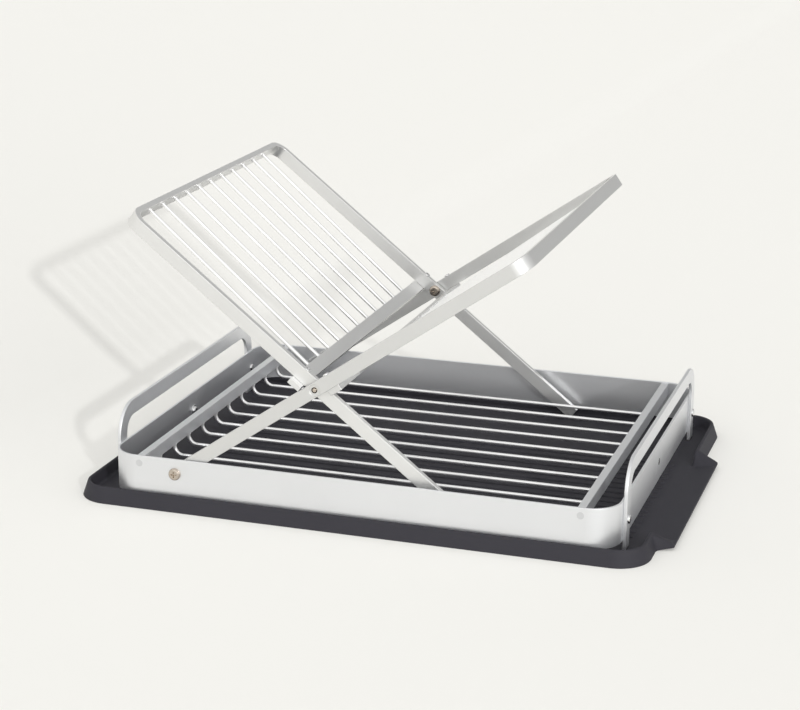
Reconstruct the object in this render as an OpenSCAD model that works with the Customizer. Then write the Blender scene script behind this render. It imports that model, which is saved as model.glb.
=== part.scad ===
// Folding dish drainer: a metal basket with a wire floor and two crossed plate racks, in a drip tray.
// Lengths are in millimetres. The tray stands on z = 0, its spout points to +X and the racks fold about Y.

/* [Basket] */
// Outer length of the basket's wall
band_l = 432; // [380:1:520]
// Outer width of the basket's wall
band_w = 345; // [300:1:400]
// Height of the basket's wall
band_h = 34; // [28:1:60]
// Thickness of the wall's sheet
band_t = 2; // [1.6:0.2:3]
// Outer radius of the wall's corners
band_r = 25; // [15:1:26]
// Height of the wall's lower edge over the tray's floor
band_lift = 7.5; // [5:0.5:25]
// Length of the lap where the two halves of the wall join
lap_l = 20; // [12:1:40]

/* [Handles] */
// Outer width of a handle
handle_w = 294; // [200:1:295]
// Height of a handle over the wall's upper edge
handle_rise = 30; // [24:1:60]
// Width of a handle's bar and legs
handle_bar = 13; // [9:0.5:20]
// Thickness of a handle's plate
handle_t = 3; // [2:0.5:5]
// Outer radius of a handle's upper corners
handle_r = 27; // [20:1:40]

/* [Wire floor] */
// Number of floor wires
floor_wire_n = 10; // [4:1:11]
// Distance between two floor wires
floor_pitch = 30; // [20:1:31]
// Diameter of a floor wire
floor_wire_d = 3; // [2:0.5:5]
// Depth of the floor wires' axes under the wall's upper edge
floor_drop = 21.4; // [19:0.1:30]
// Width of the bars that carry the floor wires
floor_bar_w = 6.6; // [5:0.2:9]
// Height of the bars that carry the floor wires
floor_bar_h = 11; // [8:0.5:12]
// Distance from the wall's outer end to the outer face of such a bar
floor_bar_in = 25.2; // [25.2:0.2:45]
// Depth of such a bar's upper face under the wall's upper edge
floor_bar_sink = 1; // [0.5:0.5:2]

/* [Racks] */
// Distance from the wall's outer end to the base pivot
pivot_in = 60.5; // [55:0.5:80]
// Height of the base pivot over the wall's lower edge
pivot_up = 21.3; // [16:0.1:24]
// Length of the outer rack's arm from the base pivot to the crossing pivot
lower_arm = 148.5; // [144:0.5:156]
// Slope of the outer rack over the level, in degrees
outer_lean = 34.6; // [33:0.1:37]
// Angle between the two opened racks, in degrees
rack_open = 107.1; // [104:0.1:110]
// Distance from the crossing pivot to the outer rack's upper end
outer_reach = 210.5; // [190:0.5:240]
// Distance from the crossing pivot to the inner rack's upper end
inner_reach = 208; // [185:0.5:230]
// Width of the racks' flat bars
strip_w = 11.5; // [9:0.5:13]
// Thickness of the racks' flat bars
strip_t = 5; // [4.5:0.5:7]
// Outer radius of the bends at the racks' upper ends
rack_r = 15; // [10:1:25]
// Number of wires on each rack
rack_wire_n = 11; // [6:1:12]
// Distance between two rack wires, where the plates stand
rack_pitch = 25; // [20:1:27]
// Diameter of a rack wire
rack_wire_d = 3; // [2:0.5:4]
// Width of the flat crossbars that carry the wires' lower ends
cross_w = 11.5; // [9:0.5:14]
// Thickness of the crossbars
cross_t = 5; // [4:0.5:7]

/* [Fasteners] */
// Diameter of the pivot screws' shanks
pivot_d = 5; // [4:0.5:6]
// Diameter of the pivot screws' pan heads
pivot_head_d = 10.4; // [9:0.2:11]
// Height of the pivot screws' pan heads
pivot_head_h = 2.6; // [2:0.2:3]
// Thickness of the gap that a pivot washer fills
washer_t = 1; // [0.8:0.1:1.5]
// Outer diameter of the pivot washers
washer_d = 10; // [8:0.5:11]
// Radial play of a running pivot
pivot_play = 0.05; // [0.03:0.01:0.1]
// Diameter of the rivets' shanks
rivet_d = 4; // [3:0.5:4.5]
// Diameter of the rivets' domed heads
rivet_head_d = 7.6; // [6:0.2:9]
// Height of the rivets' domed heads
rivet_head_h = 1.8; // [1.2:0.2:2.4]
// Diameter of the flush rivets in the long walls
flush_d = 6; // [5:0.5:6.5]
// Diameter of the crossbar screws' shanks
cross_screw_d = 3; // [2.5:0.5:3.5]
// Diameter of the crossbar screws' heads
cross_head_d = 5.6; // [5:0.2:5.8]
// Height of the crossbar screws' heads
cross_head_h = 1.2; // [1:0.1:1.4]

/* [Drip tray] */
// Distance from the wall's left end to the tray's outer left end
tray_left = 31; // [24:1:60]
// Distance from the wall's right end to the outer face of the tray's right rim
tray_right = 25; // [22:1:50]
// Distance from the wall's right end to the tip of the spout
spout_reach = 38.5; // [36:0.5:80]
// Distance from the wall's long sides to the tray's outer edge
tray_side = 8; // [8:0.5:20]
// Height of the tray's rim
rim_h = 13.5; // [12:0.5:20]
// Thickness of the tray's floor
tray_t = 2.4; // [2:0.2:4]
// Thickness of the rim's two walls
rim_t = 1.6; // [1.2:0.2:1.8]
// Width of the rim's crest
crest_w = 2.6; // [2.2:0.2:3]
// Outward flare of the rim's skirt from the crest to the table
skirt_flare = 4; // [3:0.5:4.5]
// Radius of the tray's corners at the table
tray_r = 28; // [20:1:40]
// Width of the spout's mouth at its tip
spout_w = 204; // [120:2:220]
// Offset of the spout's middle from the tray's middle
spout_off = -27; // [-30:1:30]
// Height of the spout's tip over the table
spout_lift = 2.6; // [1:0.2:6]
// Height of the ribs on the tray's floor
rib_h = 1; // [0.6:0.2:2]
// Distance between two ribs
rib_pitch = 12; // [10:1:20]

/* [Hidden] */
$fn = 48;

over = 1;                       // overrun of every cut
seat_play = 0.1;                // play under a head or beside a washer of a running pivot
stop_play = 0.2;                // gap at the stops of the opened racks, and under the inner rack's feet
edge_share = 0.4;               // straight edge of a domed head, as a share of its height
recess_share = 0.5;             // length of a screw's cross recess, as a share of the head's diameter
recess_deep_share = 0.55;       // depth of the recess, as a share of the head's height
recess_slot_share = 0.24;       // width of its slots, as a share of the shank's diameter
tail_share = 0.75;              // outer rack's end beyond the base pivot, as a share of the bar's width
dish_share = 1.9;               // diameter of the dish at a crossing pivot, as a share of the shank's
dish_deep_share = 0.16;         // depth of that dish, as a share of the bar's thickness
metal = [0.80, 0.80, 0.81];
wire_metal = [0.90, 0.90, 0.91];
steel = [0.72, 0.71, 0.69];
tray_grey = [0.27, 0.27, 0.28];

// Places of the basket, whose middle lies beside the origin because the spout reaches to one side only
basket_x = (tray_left - spout_reach) / 2;
band_z = tray_t + band_lift;
band_top = band_z + band_h;
wall_end = band_l / 2;
wall_side = band_w / 2;
mid_z = band_z + band_h / 2;

// The handles' rivets sit in the middle of the legs, and the floor bars' rivets in the middle of the bars
handle_half = min(handle_w / 2, wall_side - band_r);
leg_y = handle_half - handle_bar / 2;
floor_bar_x = wall_end - floor_bar_in - floor_bar_w / 2;
floor_bar_top = band_top - floor_bar_sink;
floor_wire_z = band_top - floor_drop;
floor_end_x = floor_bar_x - (floor_bar_w - floor_wire_d) / 2;
floor_bend_share = 0.85;
floor_bend_r = (floor_bar_top - floor_bar_h - floor_wire_z) * floor_bend_share;
flush_len = 8;

// Pivots, seen along Y
base_x = -wall_end + pivot_in;
base_z = band_z + pivot_up;
cross_x = base_x + lower_arm * cos(outer_lean);
cross_z = base_z + lower_arm * sin(outer_lean);
inner_lean = outer_lean + rack_open;
arm_angle = 180 - rack_open;
outer_half = wall_side - band_t - washer_t;
inner_half = outer_half - strip_t - washer_t;

// A crossbar starts where its outer corner meets the edge of the other rack's leg, which stops the opening
cross_a = (strip_w / 2 + stop_play + (strip_w / 2 + cross_t) * cos(arm_angle)) / sin(arm_angle);
cross_mid = strip_w / 2 + cross_t / 2;
cross_screw_a = cross_a + cross_w / 2;
cross_screw_grip = 3;

// The inner rack's legs reach down to the tray's floor
foot_a = (cross_z - tray_t - stop_play - strip_w / 2 * cos(180 - inner_lean)) / sin(180 - inner_lean);
tail = strip_w * tail_share;
dish_d = pivot_d * dish_share;
dish_deep = strip_t * dish_deep_share;
recess_deep = pivot_head_h * recess_deep_share;
recess_slot = pivot_d * recess_slot_share;

// Drip tray
tray_x0 = -wall_end - tray_left;
tray_x1 = wall_end + tray_right;
tray_l = tray_x1 - tray_x0;
tray_w = band_w + 2 * tray_side;
tray_mid = (tray_x0 + tray_x1) / 2;
spout_x = wall_end + spout_reach;
crest_out = tray_r - skirt_flare;
crest_in = crest_out - crest_w;
crest_round_share = 0.3;
crest_round = crest_w * crest_round_share;
hollow_x = (crest_in + crest_out) / 2;
rim_in = tray_r - crest_in + rim_t;
floor_r = crest_in - rim_t / 2;
floor_in = tray_r - floor_r;
wing_share = 0.98;
wing_top = rim_h * wing_share;
wing_edge = 1;
wing_slope = 11;
wing_flank = 7;
rib_gap = 14;
rib_share = 0.3;
rib_w = rib_pitch * rib_share;
rib_n = floor((spout_w - rib_pitch) / rib_pitch);
rib_x = tray_x0 + 2 * tray_r;

// Flat shapes with true arcs: a rectangle with four round corners, and one with two at its +X end
module round_rect(l, w, r) {
    square([l - 2 * r, w], center = true);
    square([l, w - 2 * r], center = true);
    for (sx = [-1, 1], sy = [-1, 1])
        translate([sx * (l / 2 - r), sy * (w / 2 - r)]) circle(r);
}

module round_end(x0, x1, half, r) {
    translate([x0, -half]) square([x1 - r - x0, 2 * half]);
    translate([x0, -half + r]) square([x1 - x0, 2 * (half - r)]);
    for (s = [-1, 1])
        translate([x1 - r, s * (half - r)]) circle(r);
}

// A bar bent into a U: it starts at x0, its upper end lies at x1
module bent_bar(x0, x1, half, r, t) {
    difference() {
        round_end(x0, x1, half, r);
        round_end(x0 - over, x1 - t, half - t, r - t);
    }
}

// Heads and recesses, standing on z = 0 and pointing to +Z
module dome_head(d, h) {
    edge = h * edge_share;
    r = ((h - edge) * (h - edge) + d * d / 4) / (2 * (h - edge));
    intersection() {
        cylinder(d = d, h = h);
        translate([0, 0, h - r]) sphere(r, $fn = 96);
    }
}

module cross_recess(d, h) {
    for (a = [0, 90])
        rotate(a)
            translate([-d * recess_share / 2, -recess_slot / 2, h - recess_deep])
                cube([d * recess_share, recess_slot, recess_deep + over]);
}

module pan_screw(d, h, shank, shank_l) {
    difference() {
        dome_head(d, h);
        cross_recess(d, h);
    }
    translate([0, 0, -shank_l]) cylinder(d = shank, h = shank_l);
}

// Turns a piece that points to +Z so that it points outwards along Y, once for each side of the basket
module both_sides() {
    for (s = [-1, 1])
        scale([1, s, 1]) rotate([-90, 0, 0]) children();
}

// Puts the children at the basket, at the base pivot or at the crossing pivot along one rack
module at_basket() {
    translate([basket_x, 0, 0]) children();
}

module at_base_pivot() {
    at_basket() translate([base_x, 0, base_z]) children();
}

module on_rack(lean) {
    at_basket() translate([cross_x, 0, cross_z]) rotate([0, -lean, 0]) children();
}

// Sheet of the basket's wall between two depths, and between two places along Y
module wall_sheet(depth0, depth1, y0, y1) {
    intersection() {
        translate([-wall_end - over, y0, band_z])
            cube([band_l + 2 * over, y1 - y0, band_h]);
        translate([0, 0, band_z])
            linear_extrude(band_h)
                difference() {
                    round_rect(band_l - 2 * depth0, band_w - 2 * depth0, band_r - depth0);
                    round_rect(band_l - 2 * depth1, band_w - 2 * depth1, band_r - depth1);
                }
    }
}

module wall_holes() {
    for (sx = [-1, 1]) {
        translate([sx * wall_end, 0, mid_z])
            rotate([0, 90, 0]) cylinder(d = rivet_d, h = 4 * band_t, center = true);
        for (sy = [-1, 1]) {
            translate([sx * wall_end, sy * leg_y, mid_z])
                rotate([0, 90, 0]) cylinder(d = rivet_d, h = 4 * band_t, center = true);
            translate([sx * floor_bar_x, sy * wall_side, floor_bar_top - floor_bar_h / 2])
                rotate([90, 0, 0]) cylinder(d = flush_d, h = 4 * band_t, center = true);
            translate([base_x, sy * wall_side, base_z])
                rotate([90, 0, 0]) cylinder(r = pivot_d / 2 + pivot_play, h = 4 * band_t, center = true);
        }
    }
}

module front_band() {
    color(metal) at_basket() difference() {
        union() {
            wall_sheet(0, band_t, -wall_side - over, -lap_l / 2);
            wall_sheet(0, band_t / 2, -lap_l / 2, lap_l / 2);
        }
        wall_holes();
    }
}

module rear_band() {
    color(metal) at_basket() difference() {
        union() {
            wall_sheet(0, band_t, lap_l / 2, wall_side + over);
            wall_sheet(band_t / 2, band_t, -lap_l / 2, lap_l / 2);
        }
        wall_holes();
    }
}

// The rivets of the laps have a washer and their larger head inside the basket
module band_rivets() {
    color(steel) at_basket() for (s = [-1, 1])
        scale([s, 1, 1]) translate([wall_end, 0, mid_z]) rotate([0, 90, 0]) {
            translate([0, 0, -band_t - washer_t]) cylinder(d = rivet_d, h = band_t + washer_t);
            dome_head(rivet_head_d, rivet_head_h);
            translate([0, 0, -band_t - washer_t]) mirror([0, 0, 1]) dome_head(rivet_head_d, rivet_head_h);
        }
}

module band_washers() {
    color(steel) at_basket() for (s = [-1, 1])
        scale([s, 1, 1]) translate([wall_end - band_t - washer_t, 0, mid_z]) rotate([0, 90, 0])
            difference() {
                cylinder(d = washer_d, h = washer_t);
                translate([0, 0, -over]) cylinder(d = rivet_d, h = washer_t + 2 * over);
            }
}

// A handle is a plate outside the end wall, and its legs carry the basket
module handle(side) {
    color(metal) at_basket() scale([side, 1, 1]) difference() {
        translate([wall_end + handle_t, 0, 0])
            rotate([0, -90, 0])
                linear_extrude(handle_t)
                    bent_bar(tray_t, band_top + handle_rise, handle_half, handle_r, handle_bar);
        for (s = [-1, 1])
            translate([wall_end - over, s * leg_y, mid_z])
                rotate([0, 90, 0]) cylinder(d = rivet_d, h = handle_t + 2 * over);
    }
}

module left_handle() {
    handle(-1);
}

module right_handle() {
    handle(1);
}

module handle_rivets() {
    color(steel) at_basket() for (sx = [-1, 1], sy = [-1, 1])
        scale([sx, 1, 1]) translate([wall_end, sy * leg_y, mid_z]) rotate([0, 90, 0]) {
            translate([0, 0, -band_t]) cylinder(d = rivet_d, h = band_t + handle_t);
            translate([0, 0, handle_t]) dome_head(rivet_head_d, rivet_head_h);
            translate([0, 0, -band_t]) mirror([0, 0, 1]) dome_head(rivet_head_d, rivet_head_h);
        }
}

module floor_bar(side) {
    bar_l = band_w - 2 * band_t;
    color(metal) at_basket() translate([side * floor_bar_x, 0, floor_bar_top - floor_bar_h / 2])
        difference() {
            cube([floor_bar_w, bar_l, floor_bar_h], center = true);
            for (s = [-1, 1])
                translate([0, s * bar_l / 2, 0])
                    rotate([90, 0, 0]) cylinder(d = rivet_d, h = 2 * flush_len, center = true);
        }
}

module left_floor_bar() {
    floor_bar(-1);
}

module right_floor_bar() {
    floor_bar(1);
}

module floor_bar_rivets() {
    color(metal) at_basket() for (s = [-1, 1])
        translate([s * floor_bar_x, 0, floor_bar_top - floor_bar_h / 2])
            both_sides() {
                translate([0, 0, wall_side - band_t]) cylinder(d = flush_d, h = band_t);
                translate([0, 0, wall_side - band_t - flush_len]) cylinder(d = rivet_d, h = flush_len);
            }
}

// A floor wire turns up at both ends and is welded to the underside of the bars
module floor_wire() {
    run = floor_end_x - floor_bend_r;
    rise = floor_bar_top - floor_bar_h - floor_wire_z - floor_bend_r;
    translate([-run, 0, floor_wire_z]) rotate([0, 90, 0]) cylinder(d = floor_wire_d, h = 2 * run);
    for (s = [-1, 1])
        scale([s, 1, 1]) {
            translate([run, 0, floor_wire_z + floor_bend_r]) rotate([90, 0, 0])
                rotate([0, 0, -90]) rotate_extrude(angle = 90)
                    translate([floor_bend_r, 0]) circle(d = floor_wire_d, $fn = 24);
            translate([floor_end_x, 0, floor_wire_z + floor_bend_r]) cylinder(d = floor_wire_d, h = rise);
        }
}

module floor_wires() {
    color(wire_metal) at_basket() for (i = [0 : floor_wire_n - 1])
        translate([0, (i - (floor_wire_n - 1) / 2) * floor_pitch, 0]) floor_wire();
}

// The racks' frames lie in their own plane: local x runs from the crossing pivot to the upper end
module outer_rack_frame() {
    color(metal) on_rack(outer_lean) difference() {
        linear_extrude(strip_w, center = true)
            bent_bar(-lower_arm - tail, outer_reach, outer_half, rack_r, strip_t);
        for (a = [0, -lower_arm])
            translate([a, 0, 0]) rotate([90, 0, 0])
                cylinder(d = pivot_d, h = 2 * outer_half + 2 * over, center = true);
        both_sides() translate([0, 0, outer_half - dish_deep]) cylinder(d = dish_d, h = dish_deep + over);
        cross_screw_holes(-1, outer_half);
    }
}

module inner_rack_frame() {
    color(metal) on_rack(inner_lean) difference() {
        linear_extrude(strip_w, center = true)
            bent_bar(-foot_a, inner_reach, inner_half, rack_r, strip_t);
        rotate([90, 0, 0])
            cylinder(r = pivot_d / 2 + pivot_play, h = 2 * inner_half + 2 * over, center = true);
        cross_screw_holes(1, inner_half);
    }
}

// out is the side of the rack, along local z, that faces away from the plates
module cross_screw_holes(out, half) {
    for (s = [-1, 1])
        translate([cross_screw_a, s * (half - strip_t / 2), 0])
            cylinder(d = cross_screw_d, h = strip_w + 2 * over, center = true);
}

module crossbar(out, half) {
    difference() {
        translate([cross_a, -outer_half, out > 0 ? strip_w / 2 : -strip_w / 2 - cross_t])
            cube([cross_w, 2 * outer_half, cross_t]);
        for (s = [-1, 1])
            translate([cross_screw_a, s * (half - strip_t / 2), out * strip_w / 2])
                cylinder(d = cross_screw_d, h = 2 * cross_screw_grip, center = true);
    }
}

module outer_rack_crossbar() {
    color(metal) on_rack(outer_lean) crossbar(-1, outer_half);
}

module inner_rack_crossbar() {
    color(metal) on_rack(inner_lean) crossbar(1, inner_half);
}

module crossbar_screws(out, half) {
    for (s = [-1, 1])
        translate([cross_screw_a, s * (half - strip_t / 2), 0]) scale([1, 1, -out]) {
            translate([0, 0, strip_w / 2]) dome_head(cross_head_d, cross_head_h);
            translate([0, 0, -strip_w / 2 - cross_screw_grip])
                cylinder(d = cross_screw_d, h = strip_w + cross_screw_grip);
        }
}

module outer_crossbar_screws() {
    color(steel) on_rack(outer_lean) crossbar_screws(-1, outer_half);
}

module inner_crossbar_screws() {
    color(steel) on_rack(inner_lean) crossbar_screws(1, inner_half);
}

// A rack's wires run from the middle of the crossbar's thin face to the middle of the upper bar
module rack_wires(out, reach) {
    a0 = cross_a + cross_w;
    a1 = reach - strip_t;
    b0 = out * cross_mid;
    slope = atan2(-b0, a1 - a0);
    run = norm([a1 - a0, b0]);
    for (i = [0 : rack_wire_n - 1])
        translate([0, (i - (rack_wire_n - 1) / 2) * rack_pitch, 0])
            intersection() {
                translate([a0, 0, b0]) rotate([0, 90 - slope, 0])
                    translate([0, 0, -over]) cylinder(d = rack_wire_d, h = run + 2 * over);
                translate([a0, -strip_w, -strip_w * 2]) cube([a1 - a0, 2 * strip_w, 4 * strip_w]);
            }
}

module outer_rack_wires() {
    color(wire_metal) on_rack(outer_lean) rack_wires(-1, outer_reach);
}

module inner_rack_wires() {
    color(wire_metal) on_rack(inner_lean) rack_wires(1, inner_reach);
}

// The base pivot's screws come from outside the wall and are threaded into the outer rack
module base_pivot_screws() {
    color(steel) at_base_pivot() both_sides()
        translate([0, 0, wall_side + seat_play])
            pan_screw(pivot_head_d, pivot_head_h, pivot_d, band_t + washer_t + strip_t + seat_play);
}

module base_pivot_washers() {
    color(steel) at_base_pivot() both_sides() translate([0, 0, outer_half]) washer();
}

// The crossing pivot's screws come from inside and are threaded into the outer rack
module rack_pivot_screws() {
    color(steel) on_rack(inner_lean) both_sides()
        translate([0, 0, inner_half - strip_t - seat_play]) mirror([0, 0, 1])
            pan_screw(pivot_head_d, pivot_head_h, pivot_d,
                      2 * strip_t + washer_t + seat_play - dish_deep / 2);
}

module rack_pivot_washers() {
    color(steel) on_rack(outer_lean) both_sides()
        translate([0, 0, inner_half + seat_play]) washer();
}

module washer() {
    difference() {
        cylinder(d = washer_d, h = washer_t - seat_play);
        translate([0, 0, -over]) cylinder(d = pivot_d, h = washer_t + 2 * over);
    }
}

// Sweeps a profile round the tray: the profile's x is measured outwards from the corners' centres
module round_tray() {
    cx = tray_l / 2 - tray_r;
    cy = tray_w / 2 - tray_r;
    for (turn = [0, 180])
        rotate(turn) {
            translate([cx, 0, 0]) rotate([90, 0, 0]) linear_extrude(2 * cy, center = true) children();
            translate([0, cy, 0]) rotate([90, 0, 90]) linear_extrude(2 * cx, center = true) children();
            translate([cx, cy, 0]) rotate_extrude(angle = 90) children();
            translate([-cx, cy, 0]) rotate(90) rotate_extrude(angle = 90) children();
        }
}

// Rim: an inner wall, a crest with broken edges and a skirt that flares out to the table
module rim_profile() {
    difference() {
        polygon([[crest_in - rim_t, 0], [crest_in, rim_h - crest_round], [crest_in + crest_round, rim_h],
                 [crest_out - crest_round, rim_h], [crest_out, rim_h - crest_round], [tray_r, 0]]);
        polygon([[crest_in, -over], [crest_in, 0], [hollow_x, rim_h - 2 * rim_t],
                 [tray_r - rim_t, 0], [tray_r - rim_t, -over]]);
    }
}

module spout_wing(side) {
    edge_y = spout_off + side * spout_w / 2;
    root_x = tray_x1 - rim_in;
    tip_x = spout_x - wing_edge;
    hull() {
        translate([root_x, edge_y, wing_top - wing_edge])
            cube([rim_in - skirt_flare, wing_edge, wing_edge]);
        translate([root_x, edge_y + side * wing_flank, 0])
            cube([rim_in - skirt_flare, wing_edge, wing_edge]);
        translate([root_x, edge_y - side * wing_slope, 0]) cube([rim_in, wing_edge, tray_t]);
        translate([tip_x, edge_y, spout_lift]) cube([wing_edge, wing_edge, 2 * tray_t]);
        translate([tip_x, edge_y - side * wing_slope / 2, spout_lift])
            cube([wing_edge, wing_edge, tray_t]);
    }
}

module drip_tray() {
    color(tray_grey) at_basket() {
        translate([tray_mid, 0, 0]) linear_extrude(tray_t)
            round_rect(tray_l - 2 * floor_in, tray_w - 2 * floor_in, floor_r);
        difference() {
            translate([tray_mid, 0, 0]) round_tray() rim_profile();
            translate([tray_x1 - rim_in - over, spout_off - spout_w / 2, -over])
                cube([rim_in + 2 * over, spout_w, rim_h + 2 * over]);
        }
        hull() {
            translate([tray_x1 - rim_in - over, spout_off - spout_w / 2, 0])
                cube([over, spout_w, tray_t]);
            translate([spout_x - wing_edge, spout_off - spout_w / 2, spout_lift])
                cube([wing_edge, spout_w, tray_t]);
        }
        for (side = [-1, 1])
            spout_wing(side);
        for (i = [0 : rib_n - 1])
            translate([rib_x, spout_off + (i - (rib_n - 1) / 2) * rib_pitch - rib_w / 2, tray_t - rib_h])
                cube([tray_x1 - rim_in - rib_gap - rib_x, rib_w, 2 * rib_h]);
    }
}

drip_tray();
front_band();
rear_band();
band_rivets();
band_washers();
left_handle();
right_handle();
handle_rivets();
left_floor_bar();
right_floor_bar();
floor_wires();
floor_bar_rivets();
outer_rack_frame();
outer_rack_crossbar();
outer_rack_wires();
outer_crossbar_screws();
inner_rack_frame();
inner_rack_crossbar();
inner_rack_wires();
inner_crossbar_screws();
base_pivot_screws();
base_pivot_washers();
rack_pivot_screws();
rack_pivot_washers();
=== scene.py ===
import math
import bpy
from mathutils import Matrix, Vector


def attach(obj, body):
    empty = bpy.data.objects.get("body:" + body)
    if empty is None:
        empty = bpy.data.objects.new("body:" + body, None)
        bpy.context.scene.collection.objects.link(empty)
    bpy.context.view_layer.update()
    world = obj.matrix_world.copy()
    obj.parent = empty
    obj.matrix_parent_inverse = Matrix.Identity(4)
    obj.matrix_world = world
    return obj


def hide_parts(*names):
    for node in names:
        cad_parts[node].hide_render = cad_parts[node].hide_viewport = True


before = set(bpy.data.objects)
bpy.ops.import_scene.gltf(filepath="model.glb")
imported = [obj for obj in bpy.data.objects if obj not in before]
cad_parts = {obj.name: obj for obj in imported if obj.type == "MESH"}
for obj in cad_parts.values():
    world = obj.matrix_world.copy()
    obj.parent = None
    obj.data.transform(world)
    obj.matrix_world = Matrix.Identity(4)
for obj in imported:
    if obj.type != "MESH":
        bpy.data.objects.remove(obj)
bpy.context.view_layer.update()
mm = 0.001
degree = math.pi / 180
print("frame loaded:", len(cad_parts), "nodes")

# where the main parts stand, in millimetres from the middle of the tray's underside
layout = {
    "basketX": -3.75, "basketLength": 432, "basketWidth": 345, "basketLow": 9.9, "basketHigh": 43.9,
    "sheet": 2, "trayFloor": 2.4,
    "basePivot": (-159.25, 0, 31.2), "crossPivot": (-37.0143, 0, 115.5248),
    "outerLean": 34.6, "innerLean": 141.7,
    "outerHalf": 169.5, "innerHalf": 163.5, "barThick": 5, "barWide": 11.5,
}
basketMiddle = (layout["basketX"], 0, (layout["basketLow"] + layout["basketHigh"]) / 2)
notLengths = ("Turn", "Outward", "Up", "Squash")  # angles, directions and shares among the trees' vectors


def colour(code):
    # an sRGB hex value as the linear colour that Blender works in
    parts = [int(code[i:i + 2], 16) / 255 for i in (1, 3, 5)]
    return tuple(p / 12.92 if p <= 0.04045 else ((p + 0.055) / 1.055) ** 2.4 for p in parts) + (1,)


def addNode(tree, kind, sockets=None, **settings):
    # one node with its settings, and a value or a link for each socket that is named
    node = tree.nodes.new(kind)
    for name, value in settings.items():
        setattr(node, name, value)
    for key, value in (sockets or {}).items():
        if isinstance(value, bpy.types.NodeSocket):
            tree.links.new(value, node.inputs[key])
        else:
            node.inputs[key].default_value = value
    return node


def maths(tree, operation, *values):
    return addNode(tree, "ShaderNodeMath", dict(enumerate(values)), operation=operation).outputs[0]


def vector(tree, **parts):
    return addNode(tree, "ShaderNodeCombineXYZ", parts).outputs[0]


def makeTree(name, sizes, layOut):
    # a Geometry Nodes tree with a named input for each size; layOut wires what stands between
    tree = bpy.data.node_groups.new(name, "GeometryNodeTree")
    for label, value in sizes.items():
        kind = ("NodeSocketMaterial" if isinstance(value, bpy.types.Material)
                else "NodeSocketVector" if isinstance(value, (tuple, Vector))
                else "NodeSocketInt" if isinstance(value, int) else "NodeSocketFloat")
        tree.interface.new_socket(label, in_out="INPUT", socket_type=kind)
    tree.interface.new_socket("Geometry", in_out="OUTPUT", socket_type="NodeSocketGeometry")
    given = addNode(tree, "NodeGroupInput").outputs
    shape = layOut(tree, given)
    shape = addNode(tree, "GeometryNodeRealizeInstances", {"Geometry": shape}).outputs[0]
    shape = addNode(tree, "GeometryNodeSetMaterial", {"Geometry": shape, "Material": given["Finish"]}).outputs[0]
    addNode(tree, "NodeGroupOutput", {"Geometry": shape})
    return tree


def growPiece(name, tree, sizes):
    # runs a tree on an empty mesh and keeps the result as a plain mesh at the origin
    piece = bpy.data.objects.new(name, bpy.data.meshes.new(name))
    bpy.context.scene.collection.objects.link(piece)
    grower = piece.modifiers.new("Grow", "NODES")
    grower.node_group = tree
    for item in tree.interface.items_tree:
        if item.in_out == "INPUT":
            grower[item.identifier] = sizes[item.name]
    bakePiece(piece)
    return piece


def bakePiece(piece):
    # what the modifiers give becomes the mesh, and they go
    bpy.context.view_layer.update()
    now = bpy.context.evaluated_depsgraph_get()
    mesh = bpy.data.meshes.new_from_object(piece.evaluated_get(now), preserve_all_data_layers=True,
                                           depsgraph=now)
    piece.modifiers.clear()
    piece.data = mesh
    mesh.name = piece.name


def roundEdges(piece, width, steps=3, angle=35):
    # breaks the sharp edges and keeps the flat faces flat to the light
    if width:
        edge = piece.modifiers.new("Edge", "BEVEL")
        edge.width = width * mm
        edge.segments = steps
        edge.limit_method = "ANGLE"
        edge.angle_limit = angle * degree
    bakePiece(piece)
    piece.data.polygons.foreach_set("use_smooth", [True] * len(piece.data.polygons))
    piece.data.set_sharp_from_angle(angle=angle * degree)
    even = piece.modifiers.new("Even", "WEIGHTED_NORMAL")
    even.keep_sharp = True
    bakePiece(piece)


def settle(piece, body, slot, *nodes):
    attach(piece, body)
    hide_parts(*nodes)
    print(piece.name, len(piece.data.polygons), "faces")


def scaled(sizes):
    # millimetres to metres for plain numbers and vectors; counts, angles and finishes stay
    def metres(label, value):
        if isinstance(value, tuple) and label not in notLengths:
            return tuple(v * mm for v in value)
        return value * mm if isinstance(value, float) else value
    return {label: metres(label, value) for label, value in sizes.items()}


# finishes: each is drawn on Object coordinates, in real sizes
def startMaterial(name):
    material = bpy.data.materials.new(name)
    material.use_nodes = True
    tree = material.node_tree
    tree.nodes.clear()
    shader = addNode(tree, "ShaderNodeBsdfPrincipled")
    addNode(tree, "ShaderNodeOutputMaterial", {"Surface": shader.outputs[0]})
    place = addNode(tree, "ShaderNodeTexCoord").outputs["Object"]
    return material, tree, shader, place


def noise(tree, place, **settings):
    return addNode(tree, "ShaderNodeTexNoise", {"Vector": place, **settings}).outputs["Fac"]


def mixTones(tree, factor, tones):
    return addNode(tree, "ShaderNodeMix", {"Factor": factor, 6: colour(tones[0]), 7: colour(tones[1])},
                   data_type="RGBA").outputs[2]


def between(tree, factor, low, high):
    return addNode(tree, "ShaderNodeMapRange", {"Value": factor, "To Min": low, "To Max": high}).outputs[0]


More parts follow.
